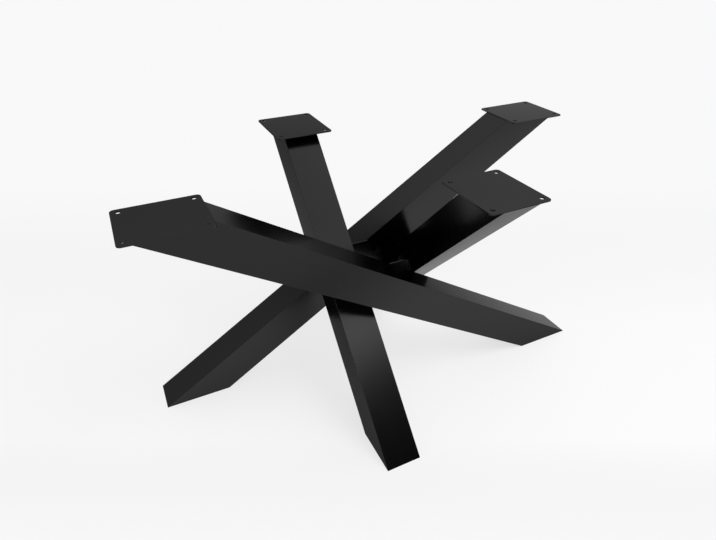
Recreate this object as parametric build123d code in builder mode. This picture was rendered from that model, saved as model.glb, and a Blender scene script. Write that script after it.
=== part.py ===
# Coffee table leg frame of four crossed square tubes round a central hub.
# Frame: origin on the floor under the hub, X along the length, Y along the width, Z up. Millimetres.
import os
from math import asin, atan2, cos, hypot, sin

from build123d import *

# Driving dimensions: the whole frame
overall_length = 800.0
overall_width = 490.0
overall_height = 430.0

# Leg tube
tube_size = 60.0
tube_wall = 2.0
tube_radius = 0.5
notch_clearance = 0.3

# Top plate
plate_thickness = 2.0
plate_lip = 0.58
plate_side_margin = 20.0
plate_corner_radius = 6.0
plate_edge_chamfer = 0.4
plate_hole_diameter = 7.0
plate_hole_inset = 10.0

# Foot plate
foot_plate_thickness = 3.0
foot_plate_clearance = 0.2

# Hub
hub_size = 90.0
hub_height = 70.0
hub_wall = 2.5
hub_radius = 4.0
hub_edge_chamfer = 0.6

# Bolts, two for each leg
bolt_diameter = 8.0
bolt_length = 16.0
bolt_spacing = 44.0
bolt_head_width = 13.0
bolt_head_height = 5.3
bolt_hole_clearance = 0.5
thread_clearance = 0.1

# Washers
washer_diameter = 16.0
washer_thickness = 1.6
washer_bore_clearance = 0.2

# Threaded collars in the legs' inner walls
collar_wall = 1.8
collar_length = 6.0

# Tube sections and the height of the tubes under their plates
tube_inside = tube_size - 2 * tube_wall
notch_size = tube_size + 2 * notch_clearance
tube_height = overall_height - plate_thickness
middle_height = tube_height / 2
foot_plate_size = tube_inside - 2 * foot_plate_clearance


def leg_slope(reach):
    """Angle above the floor at which a tube just fills a box of the given reach and the tubes' height."""
    return atan2(tube_height, reach) + asin(tube_size / hypot(reach, tube_height))


long_slope = leg_slope(overall_length)
short_slope = leg_slope(overall_width)
hub_inside = hub_size - 2 * hub_wall
leg_offset = (hub_size + tube_size) / 2

# The plate covers the longest cut end of a tube
plate_length = tube_size / sin(long_slope) + plate_lip
plate_width = tube_size + 2 * plate_side_margin
plate_hole_pitch_long = plate_length - 2 * plate_hole_inset
plate_hole_pitch_wide = plate_width - 2 * plate_hole_inset

# Legs in turn round the hub: name, reach from plate to foot, slope, turn about Z
legs = [
    ("front_leg", overall_length, long_slope, 0),
    ("left_leg", overall_width, short_slope, -90),
    ("rear_leg", overall_length, long_slope, -180),
    ("right_leg", overall_width, short_slope, -270),
]


def hub_side(turn):
    """Outer side of the hub: x runs down the leg's slope, y is up, z points away from the hub."""
    outward = Vector(0, -1, 0).rotate(Axis.Z, turn)
    downhill = Vector(1, 0, 0).rotate(Axis.Z, turn)
    centre = outward * (hub_size / 2) + Vector(0, 0, middle_height)
    return Plane(origin=centre, x_dir=downhill, z_dir=outward)


def tube_section(side, slope):
    """Plane across a leg at its middle, with its normal down the leg."""
    downward = side.x_dir * cos(slope) - side.y_dir * sin(slope)
    centre = side.origin + side.z_dir * (tube_size / 2)
    return Plane(origin=centre, x_dir=side.z_dir, z_dir=downward)


def bolt_planes(side, slope):
    """Planes on the hub's outer side at a leg's two bolts, one above the other along the leg."""
    along = side.x_dir * cos(slope) - side.y_dir * sin(slope)
    spots = [side.origin + along * (bolt_spacing * share) for share in (-0.5, 0.5)]
    return [Plane(origin=spot, x_dir=side.x_dir, z_dir=side.z_dir) for spot in spots]


def plate_plane(side, reach):
    """Plane of a top plate's underside, with the plate's outer edge flush with the frame's box."""
    along = side.x_dir * (plate_length / 2 - reach / 2)
    across = side.z_dir * leg_offset
    return Plane(origin=along + across + Vector(0, 0, tube_height), x_dir=side.x_dir, z_dir=(0, 0, 1))


def save(piece, name):
    """Label a finished piece and write it."""
    piece.part.label = name
    export_step(piece.part, f"parts/{name}.step")


os.makedirs("parts", exist_ok=True)
sections = [tube_section(hub_side(turn), slope) for _, _, slope, turn in legs]
all_bolt_planes = []

for index, (leg_name, reach, slope, turn) in enumerate(legs):
    side = hub_side(turn)
    section = sections[index]
    upper_section = sections[index - 1]
    leg_bolts = bolt_planes(side, slope)
    all_bolt_planes += leg_bolts

    # Leg tube, cut level at the floor and under the plate
    with BuildPart() as leg:
        with BuildSketch(section):
            RectangleRounded(tube_size, tube_size, tube_radius)
            Rectangle(tube_inside, tube_inside, mode=Mode.SUBTRACT)
        extrude(amount=reach, both=True)
        split(bisect_by=Plane.XY, keep=Keep.TOP)
        split(bisect_by=Plane.XY.offset(tube_height), keep=Keep.BOTTOM)

        # Small notch for the edge of the leg that passes over this one
        with BuildSketch(upper_section):
            RectangleRounded(notch_size, notch_size, tube_radius + notch_clearance)
        extrude(amount=2 * hub_size, both=True, mode=Mode.SUBTRACT)

        # Threaded collars in the inner wall
        with BuildSketch(*leg_bolts):
            Circle(bolt_diameter / 2 + collar_wall)
        extrude(amount=collar_length)
        with BuildSketch(*leg_bolts):
            Circle(bolt_diameter / 2 + thread_clearance)
        extrude(amount=collar_length, mode=Mode.SUBTRACT)
    save(leg, leg_name)

    # Top plate with a screw hole in each corner
    with BuildPart() as top_plate:
        with BuildSketch(plate_plane(side, reach)):
            RectangleRounded(plate_length, plate_width, plate_corner_radius)
            with GridLocations(plate_hole_pitch_long, plate_hole_pitch_wide, 2, 2):
                Circle(plate_hole_diameter / 2, mode=Mode.SUBTRACT)
        extrude(amount=plate_thickness)
        upper_rim = top_plate.faces().sort_by(Axis.Z)[-1].outer_wire().edges()
        chamfer(upper_rim, length=plate_edge_chamfer)
    save(top_plate, f"{leg_name}_top_plate")

    # Foot plate, which fills the tube's mouth flush with the floor cut
    with BuildPart() as foot_plate:
        with BuildSketch(section):
            Rectangle(foot_plate_size, foot_plate_size)
        extrude(amount=reach, both=True)
        split(bisect_by=Plane.XY, keep=Keep.TOP)
        split(bisect_by=Plane.XY.offset(foot_plate_thickness), keep=Keep.BOTTOM)
    save(foot_plate, f"{leg_name}_foot_plate")

# Hub: a short open square tube that the four legs are bolted to
with BuildPart() as centre_hub:
    with BuildSketch(Plane.XY.offset(middle_height - hub_height / 2)):
        RectangleRounded(hub_size, hub_size, hub_radius)
        Rectangle(hub_inside, hub_inside, mode=Mode.SUBTRACT)
    extrude(amount=hub_height)
    hub_ends = centre_hub.faces().filter_by(Axis.Z)
    chamfer(hub_ends[0].outer_wire().edges() + hub_ends[1].outer_wire().edges(), length=hub_edge_chamfer)
    with BuildSketch(*all_bolt_planes):
        Circle(bolt_diameter / 2 + bolt_hole_clearance)
    extrude(amount=-hub_wall, mode=Mode.SUBTRACT)
save(centre_hub, "centre_hub")

# Washers on the hub's inner sides
washer_seats = [plane.offset(-hub_wall) for plane in all_bolt_planes]
with BuildPart() as hub_washers:
    with BuildSketch(*washer_seats):
        Circle(washer_diameter / 2)
        Circle(bolt_diameter / 2 + washer_bore_clearance, mode=Mode.SUBTRACT)
    extrude(amount=-washer_thickness)
save(hub_washers, "hub_washers")

# Hexagon bolts, from inside the hub into the legs' collars
head_seats = [plane.offset(-washer_thickness) for plane in washer_seats]
with BuildPart() as hub_bolts:
    with BuildSketch(*head_seats):
        RegularPolygon(bolt_head_width / 2, side_count=6, major_radius=False)
    extrude(amount=-bolt_head_height)
    with BuildSketch(*head_seats):
        Circle(bolt_diameter / 2)
    extrude(amount=bolt_length)
save(hub_bolts, "hub_bolts")
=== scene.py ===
import math

import bpy
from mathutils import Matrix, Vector

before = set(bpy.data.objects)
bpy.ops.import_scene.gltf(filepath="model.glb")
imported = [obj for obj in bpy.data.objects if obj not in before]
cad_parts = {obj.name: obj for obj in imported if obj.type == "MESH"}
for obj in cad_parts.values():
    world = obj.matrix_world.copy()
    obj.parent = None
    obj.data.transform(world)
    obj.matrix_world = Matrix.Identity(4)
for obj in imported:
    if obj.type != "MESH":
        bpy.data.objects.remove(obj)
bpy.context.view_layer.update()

# Photograph's camera, in metres, degrees and pixels
PHOTO_WIDTH_PX = 716
CAMERA_FOCAL_PX = 523.48
CAMERA_PLACE = (-0.37539, -0.69141, 0.73137)
CAMERA_YAW = 25.92
CAMERA_PITCH = 33.57
SENSOR_WIDTH = 36.0

# Level directions to the camera's right and away from it
RIGHT = (math.cos(math.radians(CAMERA_YAW)), -math.sin(math.radians(CAMERA_YAW)), 0.0)
AWAY = (math.sin(math.radians(CAMERA_YAW)), math.cos(math.radians(CAMERA_YAW)), 0.0)

# Finishes: F0 colour, edge tint, grain values, and the bump's strength and depth
COAT_COLOR = (0.043, 0.043, 0.0435, 1.0)
COAT_EDGE_TINT = (0.48, 0.48, 0.48, 1.0)
COAT_GRAIN = {"Grain Scale": 420.0, "Roughness": 0.2, "Roughness Spread": 0.03}
COAT_BUMP = (0.05, 0.0001)
STEEL_COLOR = (0.02, 0.02, 0.021, 1.0)
STEEL_EDGE_TINT = (0.7, 0.7, 0.7, 1.0)
STEEL_GRAIN = {"Grain Scale": 2200.0, "Roughness": 0.42, "Roughness Spread": 0.12}
STEEL_BUMP = (0.2, 0.0001)
GRAIN_DEFAULTS = {"Grain Scale": 500.0, "Mottle Scale": 14.0, "Roughness": 0.3, "Roughness Spread": 0.04}
GRAIN_DETAIL = 3.0
MOTTLE_DETAIL = 4.0
NOISE_MEAN = 0.5
FASTENERS = ("hub_bolts", "hub_washers")

# Studio floor, just under the feet: its glow is the pale background, and its lit part keeps the shadows
FLOOR_SIZE = 30.0
FLOOR_GAP = 0.0002
FLOOR_ROUGHNESS = 0.9
FLOOR_GLOW = (0.945, 0.945, 0.945, 1.0)

# Share of the glow outside and inside the shadowed floor, as seen and as mirrored
FLOOR_GLOW_SEEN = (1.0, 0.75)
FLOOR_GLOW_REFLECTED = (0.0, 0.4)

# Painted light pool in the floor colour as (place, level), from 1 m in front of the frame to 2 m behind it
FLOOR_SPAN = (-1.0, 2.0)
FLOOR_PAINTED_LIGHT_POOL = [
    (0.067, 0.62), (0.15, 0.62), (0.19, 0.43), (0.225, 0.64), (0.265, 0.98),
    (0.37, 0.94), (0.5, 0.75), (0.667, 0.55), (0.8, 0.3), (0.95, 0.08),
]
FLOOR_SHADOWS = [(0.12, 0.0), (0.2, 0.08), (0.27, 1.0), (0.367, 1.0), (0.62, 0.0)]

# Distances from the frame's middle at which the shadowed floor has gone and is whole
FLOOR_SHADOW_REACH = (3.0, 1.2)

# Surroundings that light the frame and that the coat mirrors, as (place, level):
# the rear ones run from left to right, and the front ones upwards
SKY_STRENGTH = 1.4
SKY_OVERHEAD = 0.35
REAR_SKY = [
    (0.06, 0.34), (0.13, 0.34), (0.16, 0.2), (0.2, 0.17), (0.24, 0.53),
    (0.3, 0.56), (0.46, 0.6), (0.63, 0.88), (1.0, 0.75),
]
FRONT_SKY = [(0.6, 0.02), (0.635, 1.75), (0.66, 1.75), (0.7, 0.65), (0.78, 0.54), (1.0, 0.4)]

# Soft steps between the surroundings: rightward, away from the camera, and upward
SKY_RIGHT_STEP = (-0.1, 0.2)
SKY_FRONT_STEP = (-0.1, -0.35)
SKY_OVERHEAD_STEP = (0.87, 0.93)

# Soft box at the front right, in degrees, metres and watts
KEY_SIDE = 122.0
KEY_HEIGHT = 55.0
KEY_DISTANCE = 3.2
KEY_SIZE = 1.8
KEY_POWER = 46.0


def math_node(nodes, links, operation, *values):
    """Output of a math node on sockets or plain numbers."""
    node = nodes.new("ShaderNodeMath")
    node.operation = operation
    for socket, value in zip(node.inputs, values):
        if isinstance(value, float):
            socket.default_value = value
        else:
            links.new(value, socket)
    return node.outputs[0]


def map_range(nodes, links, value, before, after=(0.0, 1.0), kind="LINEAR"):
    """Value moved from one range to another and held inside it."""
    node = nodes.new("ShaderNodeMapRange")
    node.interpolation_type = kind
    node.inputs["From Min"].default_value, node.inputs["From Max"].default_value = before
    node.inputs["To Min"].default_value, node.inputs["To Max"].default_value = after
    links.new(value, node.inputs["Value"])
    return node.outputs[0]


def soft_step(nodes, links, value, edges):
    """Soft step of a value from 0 at the first edge to 1 at the second."""
    return map_range(nodes, links, value, edges, kind="SMOOTHSTEP")


def along(nodes, links, vector, direction):
    """Length of a vector along a direction."""
    dot = nodes.new("ShaderNodeVectorMath")
    dot.operation = "DOT_PRODUCT"
    dot.inputs[1].default_value = direction
    links.new(vector, dot.inputs[0])
    return dot.outputs["Value"]


def grey_ramp(nodes, links, value, stops, interpolation="LINEAR"):
    """Grey levels given as (place, level), read at a value."""
    ramp = nodes.new("ShaderNodeValToRGB")
    ramp.color_ramp.interpolation = interpolation
    elements = ramp.color_ramp.elements
    while len(elements) < len(stops):
        elements.new(0.5)
    for element, (place, level) in zip(elements, stops):
        element.position = place
        element.color = (level, level, level, 1.0)
    links.new(value, ramp.inputs["Fac"])
    return ramp.outputs["Color"]


def mix_greys(nodes, links, share, under, over):
    """Mix of two greys, each a socket or a plain level, by a share."""
    mix = nodes.new("ShaderNodeMix")
    mix.data_type = "RGBA"
    links.new(share, mix.inputs["Factor"])
    for grey, socket in ((under, mix.inputs["A"]), (over, mix.inputs["B"])):
        if isinstance(grey, float):
            socket.default_value = (grey, grey, grey, 1.0)
        else:
            links.new(grey, socket)
    return mix.outputs["Result"]


def mix_shaders(nodes, links, share, under, over):
    """Mix of two shaders by a share."""
    mix = nodes.new("ShaderNodeMixShader")
    for source, socket in zip((share, under, over), mix.inputs):
        links.new(source, socket)
    return mix.outputs[0]


def new_group(name, inputs, outputs):
    """Empty shader node group with float inputs as {name: value} and outputs as {name: socket type}."""
    group = bpy.data.node_groups.new(name, "ShaderNodeTree")
    for label, value in inputs.items():
        socket = group.interface.new_socket(label, in_out="INPUT", socket_type="NodeSocketFloat")
        socket.default_value = value
    for label, kind in outputs.items():
        group.interface.new_socket(label, in_out="OUTPUT", socket_type=kind)
    ends = group.nodes.new("NodeGroupInput"), group.nodes.new("NodeGroupOutput")
    return group, *ends


def noise(nodes, links, place, scale, detail):
    """Noise over a place at a scale."""
    texture = nodes.new("ShaderNodeTexNoise")
    texture.inputs["Detail"].default_value = detail
    links.new(place, texture.inputs["Vector"])
    links.new(scale, texture.inputs["Scale"])
    return texture.outputs["Fac"]


def make_grain_group():
    """Fine surface texture: a height for bump, and a slow mottle that shifts the gloss."""
    group, given, result = new_group(
        "surface_grain", GRAIN_DEFAULTS, {"Height": "NodeSocketFloat", "Roughness": "NodeSocketFloat"},
    )
    nodes, links = group.nodes, group.links
    given = given.outputs
    place = nodes.new("ShaderNodeTexCoord").outputs["Object"]
    grain = noise(nodes, links, place, given["Grain Scale"], GRAIN_DETAIL)
    mottle = noise(nodes, links, place, given["Mottle Scale"], MOTTLE_DETAIL)
    shift = math_node(nodes, links, "SUBTRACT", mottle, NOISE_MEAN)
    spread = given["Roughness Spread"]
    roughness = math_node(nodes, links, "MULTIPLY_ADD", shift, spread, given["Roughness"])
    links.new(grain, result.inputs["Height"])
    links.new(roughness, result.inputs["Roughness"])
    return group


def make_finish(name, color, edge_tint, grain_group, grain_values, bump_values):
    """Reflecting finish with a Principled shader, bumped and mottled by the grain group."""
    material = bpy.data.materials.new(name)
    material.use_nodes = True
    nodes, links = material.node_tree.nodes, material.node_tree.links
    shader = nodes["Principled BSDF"]
    shader.inputs["Base Color"].default_value = color
    shader.inputs["Metallic"].default_value = 1.0
    shader.inputs["Specular Tint"].default_value = edge_tint
    grain = nodes.new("ShaderNodeGroup")
    grain.node_tree = grain_group
    for label, value in grain_values.items():
        grain.inputs[label].default_value = value
    bump = nodes.new("ShaderNodeBump")
    bump.inputs["Strength"].default_value, bump.inputs["Distance"].default_value = bump_values
    links.new(grain.outputs["Height"], bump.inputs["Height"])
    links.new(grain.outputs["Roughness"], shader.inputs["Roughness"])
    links.new(bump.outputs["Normal"], shader.inputs["Normal"])
    return material


def make_floor_material():
    """White floor lit near the frame with a painted light pool in its colour, a plain pale background
    farther off, clear from below.
    """
    material = bpy.data.materials.new("studio_floor_white")
    material.use_nodes = True
    nodes, links = material.node_tree.nodes, material.node_tree.links
    place = nodes.new("ShaderNodeTexCoord").outputs["Object"]
    distance = nodes.new("ShaderNodeVectorMath")
    distance.operation = "LENGTH"
    links.new(place, distance.inputs[0])
    span = map_range(nodes, links, along(nodes, links, place, AWAY), FLOOR_SPAN)
    shadows = grey_ramp(nodes, links, span, FLOOR_SHADOWS, "EASE")
    reach = soft_step(nodes, links, distance.outputs["Value"], FLOOR_SHADOW_REACH)
    near_shadows = math_node(nodes, links, "MULTIPLY", shadows, reach)

    lit = nodes["Principled BSDF"]
    lit.inputs["Roughness"].default_value = FLOOR_ROUGHNESS
    lit.inputs["Specular IOR Level"].default_value = 0.0
    # Base colour is painted light: lighter around the frame, a painted shade band in front, and darker far
    # behind
    links.new(grey_ramp(nodes, links, span, FLOOR_PAINTED_LIGHT_POOL), lit.inputs["Base Color"])
    glow = nodes.new("ShaderNodeEmission")
    glow.inputs["Color"].default_value = FLOOR_GLOW

    rays = nodes.new("ShaderNodeLightPath").outputs
    mirrored = math_node(nodes, links, "MAXIMUM", rays["Is Glossy Ray"], rays["Is Transmission Ray"])
    shares = []
    for ray, levels in ((rays["Is Camera Ray"], FLOOR_GLOW_SEEN), (mirrored, FLOOR_GLOW_REFLECTED)):
        level = map_range(nodes, links, near_shadows, (0.0, 1.0), levels)
        shares.append(math_node(nodes, links, "MULTIPLY", ray, level))
    glow_share = math_node(nodes, links, "ADD", *shares)
    from_above = mix_shaders(nodes, links, glow_share, lit.outputs[0], glow.outputs[0])

    underside = nodes.new("ShaderNodeNewGeometry").outputs["Backfacing"]
    clear = nodes.new("ShaderNodeBsdfTransparent").outputs[0]
    surface = mix_shaders(nodes, links, underside, from_above, clear)
    links.new(surface, nodes["Material Output"].inputs["Surface"])
    return material


def add_floor():
    """Pale studio floor, with a painted light pool in its colour near the frame."""
    half = FLOOR_SIZE / 2
    corners = [(x, y, -FLOOR_GAP) for x, y in ((-half, -half), (half, -half), (half, half), (-half, half))]
    mesh = bpy.data.meshes.new("studio_floor")
    mesh.from_pydata(corners, [], [(0, 1, 2, 3)])
    mesh.materials.append(make_floor_material())
    floor = bpy.data.objects.new("studio_floor", mesh)
    bpy.context.scene.collection.objects.link(floor)


def add_surroundings():
    """Surroundings: pale behind the frame, a high bright band at the front right, and a plain backdrop."""
    world = bpy.data.worlds.new("studio_surroundings")
    bpy.context.scene.world = world
    world.use_nodes = True
    nodes, links = world.node_tree.nodes, world.node_tree.links
    direction = nodes.new("ShaderNodeTexCoord").outputs["Generated"]
    split = nodes.new("ShaderNodeSeparateXYZ")
    links.new(direction, split.inputs[0])
    upward = split.outputs["Z"]
    rightward = along(nodes, links, direction, RIGHT)
    backward = along(nodes, links, direction, AWAY)

    rear = grey_ramp(nodes, links, map_range(nodes, links, rightward, (-1.0, 1.0)), REAR_SKY)
    front = grey_ramp(nodes, links, upward, FRONT_SKY)
    front = mix_greys(nodes, links, soft_step(nodes, links, rightward, SKY_RIGHT_STEP), SKY_OVERHEAD, front)
    around = mix_greys(nodes, links, soft_step(nodes, links, backward, SKY_FRONT_STEP), rear, front)
    sky = mix_greys(nodes, links, soft_step(nodes, links, upward, SKY_OVERHEAD_STEP), around, SKY_OVERHEAD)
    surroundings = nodes["Background"]
    surroundings.inputs["Strength"].default_value = SKY_STRENGTH
    links.new(sky, surroundings.inputs["Color"])

    backdrop = nodes.new("ShaderNodeBackground")
    backdrop.inputs["Color"].default_value = FLOOR_GLOW
    rays = nodes.new("ShaderNodeLightPath").outputs
    seen = math_node(nodes, links, "MAXIMUM", rays["Is Camera Ray"], rays["Is Transmission Ray"])
    surface = mix_shaders(nodes, links, seen, surroundings.outputs[0], backdrop.outputs[0])
    links.new(surface, nodes["World Output"].inputs["Surface"])


def add_key():
    """Large soft box that casts the floor shadows; the coat shows the surroundings and not this lamp."""
    data = bpy.data.lights.new("key_soft_box", "AREA")
    data.size = KEY_SIZE
    data.energy = KEY_POWER
    key = bpy.data.objects.new("key_soft_box", data)
    bpy.context.scene.collection.objects.link(key)
    side = math.radians(CAMERA_YAW + KEY_SIDE)
    rise = math.radians(KEY_HEIGHT)
    toward = Vector((math.sin(side) * math.cos(rise), math.cos(side) * math.cos(rise), math.sin(rise)))
    key.location = toward * KEY_DISTANCE
    key.rotation_euler = toward.to_track_quat("Z", "Y").to_euler()
    key.visible_camera = False
    key.visible_glossy = False


def add_camera():
    """Camera at the photograph's place and angle."""
    data = bpy.data.cameras.new("photo_camera")
    data.sensor_fit = "HORIZONTAL"
    data.sensor_width = SENSOR_WIDTH
    data.lens = CAMERA_FOCAL_PX * SENSOR_WIDTH / PHOTO_WIDTH_PX
    camera = bpy.data.objects.new("photo_camera", data)
    bpy.context.scene.collection.objects.link(camera)
    camera.location = CAMERA_PLACE
    camera.rotation_euler = (math.radians(90 - CAMERA_PITCH), 0.0, math.radians(-CAMERA_YAW))
    bpy.context.scene.camera = camera


surface_grain = make_grain_group()
powder_coat = make_finish(
    "black_powder_coat", COAT_COLOR, COAT_EDGE_TINT, surface_grain, COAT_GRAIN, COAT_BUMP
)
blackened_steel = make_finish(
    "blackened_steel", STEEL_COLOR, STEEL_EDGE_TINT, surface_grain, STEEL_GRAIN, STEEL_BUMP
)

for name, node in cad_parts.items():
    node.data.materials.clear()
    node.data.materials.append(blackened_steel if name in FASTENERS else powder_coat)

add_floor()
add_surroundings()
add_key()
add_camera()
bpy.context.scene.view_settings.view_transform = "Standard"
